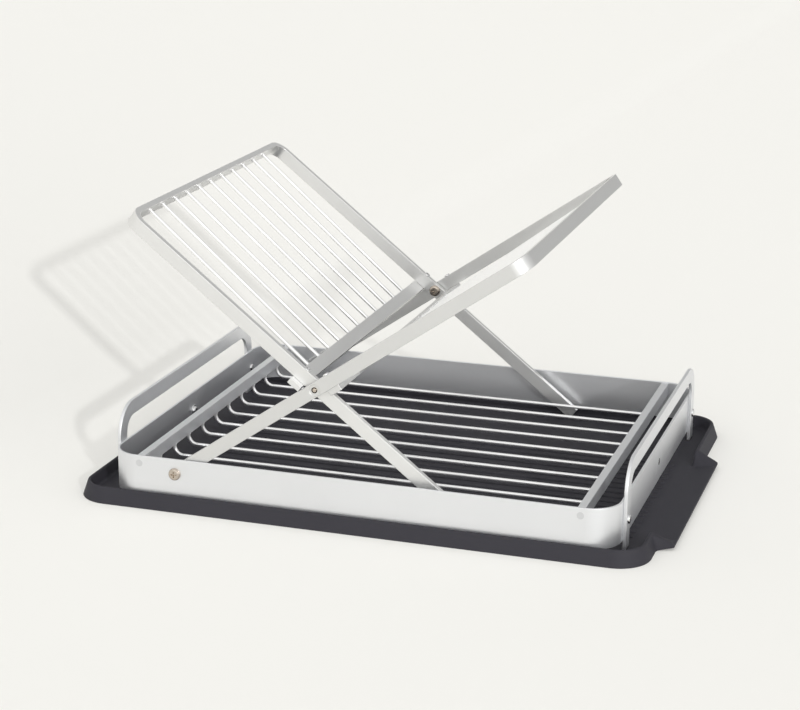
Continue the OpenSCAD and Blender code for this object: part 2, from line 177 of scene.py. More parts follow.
def satinAluminium(name, turn=(0, 0, 0), along=(40, 40, 3200), tones=("#e2e3e5", "#eaebed")):
    # natural anodised aluminium, satin brushed: soft broad reflections, drawn out a little along the grain.
    # The real grain is about 0.1 mm wide; it is drawn 0.3 mm wide so that it shows close up
    material, tree, shader, place = startMaterial(name)
    turned = addNode(tree, "ShaderNodeMapping", {"Vector": place, "Rotation": turn}).outputs[0]
    grain = addNode(tree, "ShaderNodeMapping", {"Vector": turned, "Scale": along}).outputs[0]
    lines = noise(tree, grain, Scale=1.0, Detail=3.0, Roughness=0.6)
    cloud = noise(tree, place, Scale=14.0, Detail=2.0)
    dents = addNode(tree, "ShaderNodeBump", {"Height": lines, "Strength": 0.10, "Distance": 0.0002})
    shader.inputs["Metallic"].default_value = 0.9
    tree.links.new(mixTones(tree, cloud, tones), shader.inputs["Base Color"])
    tree.links.new(between(tree, lines, 0.36, 0.48), shader.inputs["Roughness"])
    tree.links.new(dents.outputs[0], shader.inputs["Normal"])
    return material


def brightWire():
    # drawn and polished steel wire: sharp bright highlights along its length
    material, tree, shader, place = startMaterial("brightDrawnWire")
    smear = noise(tree, place, Scale=60.0, Detail=2.0)
    shader.inputs["Metallic"].default_value = 0.8
    shader.inputs["Base Color"].default_value = colour("#fafafa")
    tree.links.new(between(tree, smear, 0.30, 0.38), shader.inputs["Roughness"])
    return material


def polishedSteel(name, tone):
    # turned and polished stainless steel: a mirror with faint turning marks, small bright glints on domes
    material, tree, shader, place = startMaterial(name)
    smear = noise(tree, place, Scale=900.0, Detail=2.0)
    shader.inputs["Metallic"].default_value = 1
    shader.inputs["Base Color"].default_value = colour(tone)
    tree.links.new(between(tree, smear, 0.08, 0.18), shader.inputs["Roughness"])
    return material


def mouldedPlastic():
    # injection-moulded polypropylene with a fine spark-eroded grain: matte, dark, a little purple
    material, tree, shader, place = startMaterial("mouldedPolypropylene")
    grit = noise(tree, place, Scale=2200.0, Detail=2.0)
    cloud = noise(tree, place, Scale=9.0, Detail=2.0)
    dents = addNode(tree, "ShaderNodeBump", {"Height": grit, "Strength": 0.25, "Distance": 0.0001})
    shader.inputs["Specular IOR Level"].default_value = 0.25
    tree.links.new(mixTones(tree, cloud, ("#302f35", "#35343a")), shader.inputs["Base Color"])
    tree.links.new(between(tree, cloud, 0.62, 0.70), shader.inputs["Roughness"])
    tree.links.new(dents.outputs[0], shader.inputs["Normal"])
    return material


satinSheet = satinAluminium("satinBrushedAluminium")
# the outer rack's copy of the same aluminium is toned darker than the sheet and the inner rack: painted shade
satinOuter = satinAluminium("satinBrushedAluminiumOuterRack", turn=(0, layout["outerLean"] * degree, 0),
                            tones=("#d6d6d5", "#dededd"))
satinInner = satinAluminium("satinBrushedAluminiumInnerRack", turn=(0, layout["innerLean"] * degree, 0),
                            tones=("#e2e2e1", "#eaeae9"))
satinRivet = satinAluminium("satinBrushedRivet", turn=(0, 90 * degree, 0), tones=("#d2d3d5", "#dadbdd"))
wireFinish = brightWire()
# the screws' steel is toned darker and warmer than bare stainless: a painted dark, warm reflection that gives the
# heads contrast against the white surroundings
screwFinish = polishedSteel("polishedStainlessPaintedReflection", "#c4b9ad")
rivetFinish = polishedSteel("polishedStainless", "#e4e4e4")
trayFinish = mouldedPlastic()
print("finishes made")


# how finely round things are drawn, as counts of corners; a ball has them around and from pole to pole
corners = {"wire": 16, "bead": (20, 8), "bend": 8, "head": 36, "shank": 32, "washer": 40, "washerEdge": 2,
           "dish": 48, "rib": 20, "ribEnd": (20, 10)}
mergeHead = 0.02 * mm  # closes a turned head on its axis
mergePoints = 0.1 * mm  # makes one point of those that lie on each other


# what the trees below share
def moved(tree, shape, place, turn=(0, 0, 0), scale=(1, 1, 1)):
    return addNode(tree, "GeometryNodeTransform", {"Geometry": shape, "Translation": place, "Rotation": turn,
                                                   "Scale": scale}).outputs[0]


def joined(tree, *shapes):
    parts = addNode(tree, "GeometryNodeJoinGeometry")
    for shape in shapes:
        tree.links.new(shape, parts.inputs[0])
    return parts.outputs[0]


def openPath(tree, points):
    # three straight lines through four points
    path = addNode(tree, "GeometryNodeCurvePrimitiveQuadrilateral",
                   {f"Point {i + 1}": point for i, point in enumerate(points)}, mode="POINTS").outputs[0]
    return addNode(tree, "GeometryNodeSetSplineCyclic", {"Geometry": path, "Cyclic": False}).outputs[0]


def filleted(tree, path, radius, count):
    return addNode(tree, "GeometryNodeFilletCurve", {"Curve": path, "Radius": radius, "Count": count},
                   mode="POLY").outputs[0]


def rectangle(tree, width, height):
    return addNode(tree, "GeometryNodeCurvePrimitiveQuadrilateral", {"Width": width, "Height": height},
                   mode="RECTANGLE").outputs[0]


def circle(tree, radius, count):
    return addNode(tree, "GeometryNodeCurvePrimitiveCircle", {"Radius": radius, "Resolution": count}).outputs[0]


def ball(tree, radius, counts):
    return addNode(tree, "GeometryNodeMeshUVSphere", {"Radius": radius, "Segments": counts[0],
                                                      "Rings": counts[1]}).outputs[0]


def swept(tree, path, profile, caps=True):
    return addNode(tree, "GeometryNodeCurveToMesh", {"Curve": path, "Profile Curve": profile,
                                                     "Fill Caps": caps}).outputs[0]


# bent flat bars: handles, rack frames, basket wall
def layBentBar(tree, given):
    # a U in its own plane: it starts at Start, bends at End, and its profile is In Plane by Across
    left, right = (maths(tree, "MULTIPLY", given["Half Width"], side) for side in (-1.0, 1.0))
    path = openPath(tree, [vector(tree, X=given[end], Y=y) for end, y in (
        ("Start", left), ("End", left), ("End", right), ("Start", right))])
    path = filleted(tree, path, given["Bend"], given["Bend Steps"])
    path = addNode(tree, "GeometryNodeSetCurveNormal", {"Curve": path}, mode="Z_UP").outputs[0]
    bar = swept(tree, path, rectangle(tree, given["In Plane"], given["Across"]))
    return moved(tree, bar, given["Place"], given["Turn"])


bentSizes = {"Start": 0.0, "End": 1.0, "Half Width": 1.0, "Bend": 1.0, "Bend Steps": 12, "In Plane": 1.0,
             "Across": 1.0, "Place": (0, 0, 0), "Turn": (0, 0, 0), "Finish": satinSheet}
bentBar = makeTree("bentBar", bentSizes, layBentBar)

handle = {"width": 294, "top": 73.9, "bar": 13, "thick": 3, "corner": 27, "cornerSteps": 14, "edge": 0.6}
for side, name, node in ((-1, "leftHandlePlate", "left_handle"), (1, "rightHandlePlate", "right_handle")):
    wallFace = layout["basketX"] + side * layout["basketLength"] / 2
    piece = growPiece(name, bentBar, scaled({
        "Start": float(layout["trayFloor"]), "End": handle["top"] - handle["bar"] / 2,
        "Half Width": (handle["width"] - handle["bar"]) / 2, "Bend": handle["corner"] - handle["bar"] / 2,
        "Bend Steps": handle["cornerSteps"], "In Plane": float(handle["bar"]), "Across": float(handle["thick"]),
        "Place": (wallFace + side * handle["thick"] / 2, 0, 0), "Turn": (0, -90 * degree, 0),
        "Finish": satinSheet}))
    roundEdges(piece, handle["edge"])
    settle(piece, "basket", "satin_aluminium", node)

rack = {"bend": 15, "bendSteps": 12, "edge": 0.4, "outerReach": 210.5, "outerArm": 148.5, "outerTail": 8.625,
        "innerReach": 208, "innerFoot": 174.92, "dish": 9.5, "dishDeep": 0.8}


def rackFrame(name, finish, lean, half, start, reach):
    # a rack's bar along its own X, from the crossing pivot Start millimetres back and Reach forward
    thick = layout["barThick"]
    return growPiece(name, bentBar, scaled({
        "Start": float(-start), "End": reach - thick / 2, "Half Width": half - thick / 2,
        "Bend": rack["bend"] - thick / 2, "Bend Steps": rack["bendSteps"], "In Plane": float(thick),
        "Across": float(layout["barWide"]), "Place": layout["crossPivot"], "Turn": (0, -lean * degree, 0),
        "Finish": finish}))


outerFrame = rackFrame("outerRackBar", satinOuter, layout["outerLean"], layout["outerHalf"],
                       rack["outerArm"] + rack["outerTail"], rack["outerReach"])
# the shallow dish round the crossing pivot's end, on both outer faces
for side in (-1, 1):
    onFace = Vector(layout["crossPivot"]) * mm + Vector((0, side * layout["outerHalf"] * mm, 0))
    bpy.ops.mesh.primitive_cylinder_add(
        vertices=corners["dish"], radius=rack["dish"] / 2 * mm, depth=2 * rack["dishDeep"] * mm,
        rotation=(90 * degree, 0, 0), location=onFace)
    cutter = bpy.context.object
    cut = outerFrame.modifiers.new("Dish", "BOOLEAN")
    cut.object = cutter
    cut.solver = "EXACT"
    bakePiece(outerFrame)
    bpy.data.objects.remove(cutter)
roundEdges(outerFrame, rack["edge"])
settle(outerFrame, "outer_rack", "satin_aluminium", "outer_rack_frame")

innerFrame = rackFrame("innerRackBar", satinInner, layout["innerLean"], layout["innerHalf"],
                       rack["innerFoot"], rack["innerReach"])
roundEdges(innerFrame, rack["edge"])
settle(innerFrame, "inner_rack", "satin_aluminium", "inner_rack_frame")


def layWallHalf(tree, given):
    # half of the basket's wall: a bent sheet and two tongues of half its thickness that lap the other half
    opposite = addNode(tree, "ShaderNodeVectorMath", {0: given["Tongue Place"], 1: (-1.0, 1.0, 1.0)},
                       operation="MULTIPLY").outputs[0]
    tongue = addNode(tree, "GeometryNodeMeshCube", {"Size": given["Tongue Size"]}).outputs[0]
    whole = joined(tree, layBentBar(tree, given), moved(tree, tongue, given["Tongue Place"]),
                   moved(tree, tongue, opposite))
    return moved(tree, whole, given["Middle"])


wall = {"corner": 25, "cornerSteps": 16, "edge": 0.5, "lap": 20}
wallTall = layout["basketHigh"] - layout["basketLow"]
wallSizes = {**bentSizes, "Tongue Place": (0, 0, 0), "Tongue Size": (1, 1, 1), "Middle": (0, 0, 0)}
wallHalf = makeTree("wallHalf", wallSizes, layWallHalf)
for side, name, node, quarters in (
        (-1, "frontWallSheet", "front_band", 1), (1, "rearWallSheet", "rear_band", 3)):
    sheet = layout["sheet"]
    tongueX = layout["basketLength"] / 2 - quarters * sheet / 4  # in the outer or the inner half of the sheet
    piece = growPiece(name, wallHalf, scaled({
        "Start": wall["lap"] / 2, "End": layout["basketWidth"] / 2 - sheet / 2,
        "Half Width": layout["basketLength"] / 2 - sheet / 2, "Bend": wall["corner"] - sheet / 2,
        "Bend Steps": wall["cornerSteps"], "In Plane": float(sheet), "Across": float(wallTall),
        "Place": (0, 0, 0), "Turn": (0, 0, side * 90 * degree), "Tongue Place": (tongueX, 0, 0),
        "Tongue Size": (sheet / 2, wall["lap"], wallTall), "Middle": basketMiddle, "Finish": satinSheet}))
    roundEdges(piece, wall["edge"])
    settle(piece, "basket", "satin_aluminium", node)
print("sheet and bars bent")


# straight bars
def layStraightBar(tree, given):
    bar = addNode(tree, "GeometryNodeMeshCube", {"Size": given["Size"]}).outputs[0]
    return moved(tree, moved(tree, bar, given["Along Rack"]), given["Place"], given["Turn"])


straightSizes = {"Size": (1, 1, 1), "Along Rack": (0, 0, 0), "Place": (0, 0, 0), "Turn": (0, 0, 0),
                 "Finish": satinSheet}
straightBar = makeTree("straightBar", straightSizes, layStraightBar)
floorBar = {"wide": 6.6, "high": 11, "inset": 25.2, "sink": 1, "edge": 0.4}
floorBarX = layout["basketLength"] / 2 - floorBar["inset"] - floorBar["wide"] / 2
floorBarTop = layout["basketHigh"] - floorBar["sink"]
floorBarZ = floorBarTop - floorBar["high"] / 2
insideWidth = layout["basketWidth"] - 2 * layout["sheet"]
for side, name, node in ((-1, "leftWireBar", "left_floor_bar"), (1, "rightWireBar", "right_floor_bar")):
    piece = growPiece(name, straightBar, scaled({
        **straightSizes, "Size": (floorBar["wide"], insideWidth, floorBar["high"]),
        "Place": (layout["basketX"] + side * floorBarX, 0, floorBarZ)}))
    roundEdges(piece, floorBar["edge"])
    settle(piece, "basket", "satin_aluminium", node)

crossbar = {"wide": 11.5, "thick": 5, "start": 9.53, "edge": 0.4}
crossbarMiddle = layout["barWide"] / 2 + crossbar["thick"] / 2
crossbarAlong = crossbar["start"] + crossbar["wide"] / 2
for out, name, node, body, lean, finish in (
        (-1, "outerRackCrossbar", "outer_rack_crossbar", "outer_rack", layout["outerLean"], satinOuter),
        (1, "innerRackCrossbar", "inner_rack_crossbar", "inner_rack", layout["innerLean"], satinInner)):
    piece = growPiece(name, straightBar, scaled({
        "Size": (crossbar["wide"], 2 * layout["outerHalf"], crossbar["thick"]),
        "Along Rack": (crossbarAlong, 0, out * crossbarMiddle), "Place": layout["crossPivot"],
        "Turn": (0, -lean * degree, 0), "Finish": finish}))
    roundEdges(piece, crossbar["edge"])
    settle(piece, body, "satin_aluminium", node)
print("straight bars made")


# wires, each with a flattened drop of weld where it meets its bar
def repeatAcross(tree, given, one):
    # Count copies along Y, Pitch apart, about the middle
    shift = maths(tree, "MULTIPLY", maths(tree, "ADD", given["Count"], -1.0), -0.5)
    start = vector(tree, Y=maths(tree, "MULTIPLY", shift, given["Pitch"]))
    line = addNode(tree, "GeometryNodeMeshLine", {"Count": given["Count"], "Start Location": start,
                                                  "Offset": vector(tree, Y=given["Pitch"])}).outputs[0]
    many = addNode(tree, "GeometryNodeInstanceOnPoints", {"Points": line, "Instance": one}).outputs[0]
    return moved(tree, many, given["Place"], given["Turn"])


def layWires(tree, given, path, ends, squash):
    # one wire along its path with a bead at both ends, repeated across
    rod = swept(tree, path, circle(tree, given["Radius"], corners["wire"]))
    drop = ball(tree, given["Bead"], corners["bead"])
    beads = [moved(tree, drop, end, scale=squash) for end in ends]
    return repeatAcross(tree, given, joined(tree, rod, *beads))


def layFloorWires(tree, given):
    # turned up at both ends
    left, right = (maths(tree, "MULTIPLY", given["Half Run"], side) for side in (-1.0, 1.0))
    points = [vector(tree, X=x, Z=z) for x, z in (
        (left, given["Rise"]), (left, 0.0), (right, 0.0), (right, given["Rise"]))]
    path = filleted(tree, openPath(tree, points), given["Bend"], corners["bend"])
    return layWires(tree, given, path, (points[0], points[3]), (1, 1, floorWire["beadFlat"]))


floorWire = {"count": 10, "pitch": 30.0, "radius": 1.5, "bend": 7.99, "drop": 21.4, "endIn": 1.8, "bead": 1.9,
             "beadFlat": 0.55}
floorWireZ = layout["basketHigh"] - floorWire["drop"]
floorSizes = scaled({
    "Count": floorWire["count"], "Pitch": floorWire["pitch"], "Radius": floorWire["radius"],
    "Half Run": floorBarX - floorWire["endIn"], "Rise": floorBarTop - floorBar["high"] - floorWireZ,
    "Bend": floorWire["bend"], "Bead": floorWire["bead"], "Place": (layout["basketX"], 0, floorWireZ),
    "Turn": (0, 0, 0), "Finish": wireFinish})
wires = growPiece("floorWires", makeTree("floorWires", floorSizes, layFloorWires), floorSizes)
roundEdges(wires, 0, angle=50)
settle(wires, "basket", "bright_wire", "floor_wires")


def straightPath(tree, given):
    return addNode(tree, "GeometryNodeCurvePrimitiveLine", {"Start": given["Low End"],
                                                            "End": given["High End"]}).outputs[0]


def layRackWires(tree, given):
    # straight, from the crossbar to the upper bar
    ends = (given["Low End"], given["High End"])
    return layWires(tree, given, straightPath(tree, given), ends, (rackWire["beadFlat"], 1, 1))


rackWire = {"count": 11, "pitch": 25.0, "radius": 1.5, "bead": 2.1, "beadFlat": 0.45}
rackWires = None
for out, name, node, body, lean, reach in (
        (-1, "outerRackWires", "outer_rack_wires", "outer_rack", layout["outerLean"], rack["outerReach"]),
        (1, "innerRackWires", "inner_rack_wires", "inner_rack", layout["innerLean"], rack["innerReach"])):
    sizes = scaled({
        "Count": rackWire["count"], "Pitch": rackWire["pitch"], "Radius": rackWire["radius"],
        "Low End": (crossbar["start"] + crossbar["wide"], 0, out * crossbarMiddle),
        "High End": (reach - layout["barThick"], 0, 0), "Bead": rackWire["bead"],
        "Place": layout["crossPivot"], "Turn": (0, -lean * degree, 0), "Finish": wireFinish})
    rackWires = rackWires or makeTree("rackWires", sizes, layRackWires)
    wires = growPiece(name, rackWires, sizes)
    roundEdges(wires, 0, angle=50)
    settle(wires, body, "bright_wire", node)
print("wires drawn")


# rivets, screws and washers
def turnedHead(tree, radius, height, rounding):
    # a head turned on a lathe: its half profile swept round a ring, standing on z = 0
    centre = maths(tree, "MULTIPLY", radius, -1.0)
    top = maths(tree, "MULTIPLY", height, -1.0)
    half = openPath(tree, [vector(tree, X=x, Y=y) for x, y in (
        (centre, 0.0), (0.0, 0.0), (0.0, top), (centre, top))])
    index = addNode(tree, "GeometryNodeInputIndex").outputs[0]
    isRim = addNode(tree, "FunctionNodeCompare", {2: index, 3: 2}, data_type="INT", operation="EQUAL").outputs[0]
    half = filleted(tree, half, maths(tree, "MULTIPLY", isRim, rounding), corners["bend"])
    head = swept(tree, circle(tree, radius, corners["head"]), half, caps=False)
    head = addNode(tree, "GeometryNodeMergeByDistance", {"Geometry": head, "Distance": mergeHead}).outputs[0]
    return addNode(tree, "GeometryNodeFlipFaces", {"Mesh": head}).outputs[0]


def onlyIf(tree, size, shape, otherwise=None):
    # the shape where the size is above zero
    there = addNode(tree, "FunctionNodeCompare", {0: size, 1: 0.0}, operation="GREATER_THAN").outputs[0]
    choice = {"Switch": there, "True": shape}
    if otherwise:
        choice["False"] = otherwise
    return addNode(tree, "GeometryNodeSwitch", choice, input_type="GEOMETRY").outputs[0]


def standApart(tree, given):
    # the four, two or one points that lie Spread X by Spread Y apart
    grid = addNode(tree, "GeometryNodeMeshGrid", {"Size X": given["Spread X"], "Size Y": given["Spread Y"],
                                                  "Vertices X": 2, "Vertices Y": 2}).outputs[0]
    return addNode(tree, "GeometryNodeMergeByDistance", {"Geometry": grid, "Distance": mergePoints}).outputs[0]


def setAlong(tree, points, shape, aim):
    # the shape on each point, with its Z along aim
    turn = addNode(tree, "FunctionNodeAlignRotationToVector", {"Vector": aim}, axis="Z").outputs[0]
    return addNode(tree, "GeometryNodeInstanceOnPoints", {"Points": points, "Instance": shape,
                                                          "Rotation": turn}).outputs[0]


def layFasteners(tree, given):
    # a head with a cross recess, its shank and a second head. Outward says along which axes the heads
    # point away from the middle, Up gives a fixed direction
    head = turnedHead(tree, given["Head Radius"], given["Head Height"], given["Rounding"])
    slotSize = vector(tree, X=given["Recess"], Y=given["Slot"], Z=given["Slot Depth"])
    slot = addNode(tree, "GeometryNodeMeshCube", {"Size": slotSize}).outputs[0]
    lift = vector(tree, Z=given["Head Height"])
    cross = joined(tree, *(moved(tree, slot, lift, (0, 0, turn)) for turn in (0.0, 90 * degree)))
    both = {"Mesh 1": head, "Mesh 2": cross, "Self Intersection": True}
    cutHead = addNode(tree, "GeometryNodeMeshBoolean", both, operation="DIFFERENCE", solver="EXACT").outputs[0]
    shank = addNode(tree, "GeometryNodeMeshCylinder", {"Vertices": corners["shank"], "Depth": given["Shank"],
                                                       "Radius": given["Shank Radius"]}).outputs[0]
    shank = moved(tree, shank, vector(tree, Z=maths(tree, "MULTIPLY", given["Shank"], -0.5)))
    foot = turnedHead(tree, given["Foot Radius"], given["Foot Height"], given["Rounding"])
    under = vector(tree, Z=maths(tree, "MULTIPLY", given["Shank"], -1.0))
    foot = moved(tree, foot, under, (180 * degree, 0, 0))
    whole = joined(tree, onlyIf(tree, given["Recess"], cutHead, head), shank,
                   onlyIf(tree, given["Foot Radius"], foot))
    spot = addNode(tree, "GeometryNodeInputPosition").outputs[0]
    aim = addNode(tree, "ShaderNodeVectorMath", {0: spot, 1: given["Outward"], 2: given["Up"]},
                  operation="MULTIPLY_ADD").outputs[0]
    many = moved(tree, setAlong(tree, standApart(tree, given), whole, aim), given["Along Rack"])
    return moved(tree, many, given["Place"], given["Turn"])


rivet = {"radius": 3.8, "high": 1.8, "rounding": 1.6, "shank": 2.0}
plainFastener = {
    "Head Radius": rivet["radius"], "Head Height": rivet["high"], "Rounding": rivet["rounding"],
    "Recess": 0.0, "Slot": 0.0, "Slot Depth": 0.0, "Shank Radius": rivet["shank"], "Shank": 4.0,
    "Foot Radius": 0.0, "Foot Height": 0.0, "Spread X": 0.0, "Spread Y": 0.0, "Outward": (0, 0, 0),
    "Up": (0, 0, 0), "Along Rack": (0, 0, 0), "Place": (0, 0, 0), "Turn": (0, 0, 0), "Finish": rivetFinish}
fasteners = makeTree("fasteners", plainFastener, layFasteners)


def setFasteners(name, node, body, slot, sizes):
    piece = growPiece(name, fasteners, scaled({**plainFastener, **sizes}))
    roundEdges(piece, 0, angle=40)
    settle(piece, body, slot, node)


def screwSizes(screw):
    return {"Head Radius": screw["radius"], "Head Height": screw["high"], "Rounding": screw["rounding"],
            "Recess": screw["recess"], "Slot": screw["slot"], "Slot Depth": screw["deep"],
            "Shank Radius": screw["shank"]}


setFasteners("handleRivets", "handle_rivets", "basket", "screw_steel", {
    "Shank": float(layout["sheet"] + handle["thick"]), "Foot Radius": rivet["radius"],
    "Foot Height": rivet["high"], "Spread X": float(layout["basketLength"] + 2 * handle["thick"]),
    "Spread Y": float(handle["width"] - handle["bar"]), "Outward": (1.0, 0, 0), "Place": basketMiddle})
lapRivet = {"washer": 1.0, "outerRadius": 3.0, "outerHigh": 0.15}  # nearly flush outside
setFasteners("lapRivets", "band_rivets", "basket", "screw_steel", {
    "Head Radius": lapRivet["outerRadius"], "Head Height": lapRivet["outerHigh"],
    "Shank": layout["sheet"] + lapRivet["washer"], "Foot Radius": rivet["radius"],
    "Foot Height": rivet["high"], "Spread X": float(layout["basketLength"]), "Outward": (1.0, 0, 0),
    "Place": basketMiddle})
flush = {"radius": 3.0, "proud": 0.12, "rounding": 0.1, "shank": 6.0}
setFasteners("flushRivets", "floor_bar_rivets", "basket", "satin_aluminium", {
    "Head Radius": flush["radius"], "Head Height": flush["proud"] + layout["sheet"],
    "Rounding": flush["rounding"], "Shank": flush["shank"], "Spread X": 2 * floorBarX,
    "Spread Y": float(insideWidth), "Outward": (0, 1.0, 0), "Place": (layout["basketX"], 0, floorBarZ),
    "Finish": satinRivet})
# the pan heads stand off by their play; end is the crossing screw's riveted end in the outer rack's dish
pan = {"radius": 5.2, "high": 2.6, "rounding": 1.9, "shank": 2.5, "recess": 5.2, "slot": 1.2, "deep": 2.9,
       "play": 0.1, "crossShank": 10.7, "endRadius": 2.45, "endHigh": 0.35}
outerInside = layout["outerHalf"] - layout["barThick"]
setFasteners("basePivotScrews", "base_pivot_screws", "outer_rack", "screw_steel", {
    **screwSizes(pan), "Shank": layout["basketWidth"] / 2 + pan["play"] - outerInside,
    "Spread Y": layout["basketWidth"] + 2 * pan["play"], "Outward": (0, 1.0, 0),
    "Place": layout["basePivot"], "Finish": screwFinish})
setFasteners("crossPivotScrews", "rack_pivot_screws", "outer_rack", "screw_steel", {
    **screwSizes(pan), "Shank": pan["crossShank"], "Foot Radius": pan["endRadius"], "Foot Height": pan["endHigh"],
    "Spread Y": 2 * (layout["innerHalf"] - layout["barThick"] - pan["play"]), "Outward": (0, -1.0, 0),
    "Place": layout["crossPivot"], "Finish": screwFinish})
barScrew = {"radius": 2.8, "high": 1.2, "rounding": 0.9, "shank": 1.5, "recess": 3.0, "slot": 0.7, "deep": 1.4,
            "grip": 3.0}
for out, name, node, body, lean, half in (
        (-1, "outerCrossbarScrews", "outer_crossbar_screws", "outer_rack", layout["outerLean"],
         layout["outerHalf"]),
        (1, "innerCrossbarScrews", "inner_crossbar_screws", "inner_rack", layout["innerLean"],
         layout["innerHalf"])):
    setFasteners(name, node, body, "screw_steel", {
        **screwSizes(barScrew), "Shank": layout["barWide"] + barScrew["grip"],
        "Spread Y": 2.0 * half - layout["barThick"], "Up": (0, 0, -1.0 * out),
        "Along Rack": (crossbarAlong, 0, -out * layout["barWide"] / 2),
        "Place": layout["crossPivot"], "Turn": (0, -lean * degree, 0)})


def layWashers(tree, given):
    # flat rings with broken edges, set at both sides along one axis
    profile = rectangle(tree, given["Ring Width"], given["Thickness"])
    profile = filleted(tree, profile, given["Edge"], corners["washerEdge"])
    washer = swept(tree, circle(tree, given["Middle Radius"], corners["washer"]), profile, caps=False)
    spot = addNode(tree, "GeometryNodeInputPosition").outputs[0]
    return moved(tree, setAlong(tree, standApart(tree, given), washer, spot), given["Place"])


ring = {"middle": 3.75, "wide": 2.5, "thick": 0.9, "edge": 0.2, "lapMiddle": 3.5, "lapWide": 3.0}
ringSizes = {"Middle Radius": ring["middle"], "Ring Width": ring["wide"], "Thickness": ring["thick"],
             "Edge": ring["edge"], "Spread X": 0.0, "Spread Y": 0.0, "Place": (0, 0, 0), "Finish": rivetFinish}
washers = makeTree("washers", ringSizes, layWashers)
insideLength = layout["basketLength"] - 2 * layout["sheet"]
for name, node, body, sizes in (
        ("lapWashers", "band_washers", "basket",
         {"Middle Radius": ring["lapMiddle"], "Ring Width": ring["lapWide"], "Thickness": lapRivet["washer"],
          "Spread X": insideLength - lapRivet["washer"], "Place": basketMiddle}),
        ("basePivotWashers", "base_pivot_washers", "outer_rack",
         {"Spread Y": 2 * layout["outerHalf"] + ring["thick"], "Place": layout["basePivot"]}),
        ("crossPivotWashers", "rack_pivot_washers", "outer_rack",
         {"Spread Y": 2 * outerInside - ring["thick"], "Place": layout["crossPivot"]})):
    piece = growPiece(name, washers, scaled({**ringSizes, **sizes}))
    roundEdges(piece, 0, angle=50)
    settle(piece, body, "screw_steel", node)
print("fasteners set")


def addMesh(name, points, faces):
    mesh = bpy.data.meshes.new(name)
    mesh.from_pydata(points, [], faces)
    piece = bpy.data.objects.new(name, mesh)
    bpy.context.scene.collection.objects.link(piece)
    return piece


# the drip tray: a closed run of sections round its edge, and a flat floor
tray = {"left": -250.75, "right": 237.25, "side": 180.5, "corner": 28, "cornerSteps": 14,
        "spoutMiddle": -27, "spoutWidth": 204, "spoutSteps": 8}
# the rim's section from the floor's top, over the crest and down to the table, then back under:
# how far inside the tray's edge at the table, and how high
rimSection = [
    (11.5, 2.4), (9.8, 2.45), (8.7, 2.9), (8.15, 3.7), (7.95, 4.8), (7.0, 11.9), (6.75, 12.9), (6.2, 13.4),
    (5.6, 13.5), (5.0, 13.45), (4.45, 13.1), (4.1, 12.4), (0.9, 3.2), (0.35, 1.4), (0.0, 0.5), (0.3, 0.05),
    (0.9, 0.0), (1.5, 0.1), (1.9, 0.8), (5.1, 10.7), (6.1, 10.7), (7.6, 0.4), (8.2, 0.0), (11.5, 0.0)]
# the same points where the spout runs out flat, and along the wing's ridge
spoutSection = [
    (11.5, 2.4), (9.8, 2.42), (8.7, 2.5), (8.15, 2.55), (7.95, 2.6), (6.5, 2.7), (5.0, 2.85), (2.0, 3.2),
    (-2.0, 3.65), (-6.0, 4.15), (-10.5, 4.75), (-12.6, 5.0), (-13.2, 4.9), (-13.5, 4.5), (-13.5, 3.0),
    (-13.2, 2.65), (-12.6, 2.6), (-10.0, 2.3), (-5.0, 1.7), (0.0, 1.0), (3.0, 0.6), (6.5, 0.2), (8.2, 0.0),
    (11.5, 0.0)]
ridgeSection = [
    (11.5, 2.4), (9.8, 2.45), (8.7, 2.9), (8.15, 3.7), (7.95, 4.8), (7.0, 11.9), (6.75, 12.9), (6.0, 13.3),
    (4.6, 13.3), (2.0, 12.2), (-10.5, 6.3), (-12.6, 5.5), (-13.2, 5.2), (-13.5, 4.6), (-13.5, 3.0),
    (-13.2, 2.65), (-12.6, 2.6), (-10.0, 2.5), (-5.0, 2.3), (0.0, 3.1), (3.0, 5.4), (6.5, 0.9), (8.2, 0.0),
    (11.5, 0.0)]
# from the rim over the wing's ridge into the spout: how far past the ridge, two sections and their mix
wingSteps = [
    (-7, rimSection, ridgeSection, 0), (-4.2, rimSection, ridgeSection, 0.12),
    (-2.2, rimSection, ridgeSection, 0.5), (-0.9, rimSection, ridgeSection, 0.9),
    (0, ridgeSection, spoutSection, 0), (0.9, ridgeSection, spoutSection, 0.06),
    (5.5, ridgeSection, spoutSection, 0.5), (9.8, ridgeSection, spoutSection, 0.92),
    (11, ridgeSection, spoutSection, 0.985), (12.2, ridgeSection, spoutSection, 1)]


def mixSections(a, b, t):
    return [(p[0] * (1 - t) + q[0] * t, p[1] * (1 - t) + q[1] * t) for p, q in zip(a, b)]


def traySteps():
    # stations round the tray's edge: a point, the outward direction and the section there
    right, left, side, r = tray["right"], tray["left"], tray["side"], tray["corner"]
    low, high = (tray["spoutMiddle"] + half * tray["spoutWidth"] / 2 for half in (-1, 1))
    wing = [(y, mixSections(a, b, t)) for y, a, b, t in wingSteps]
    run = wingSteps[-1][0]
    steps = [((right, low + y), (1, 0), section) for y, section in wing]
    steps += [((right, low + run + (high - low - 2 * run) * i / tray["spoutSteps"]), (1, 0), spoutSection)
              for i in range(1, tray["spoutSteps"])]
    steps += [((right, high - y), (1, 0), section) for y, section in reversed(wing)]
    for cx, cy, start in ((right - r, side - r, 0), (left + r, side - r, 90), (left + r, r - side, 180),
                          (right - r, r - side, 270)):
        for i in range(tray["cornerSteps"] + 1):
            a = (start + 90 * i / tray["cornerSteps"]) * degree
            steps.append(((cx + r * math.cos(a), cy + r * math.sin(a)), (math.cos(a), math.sin(a)), rimSection))
    return steps


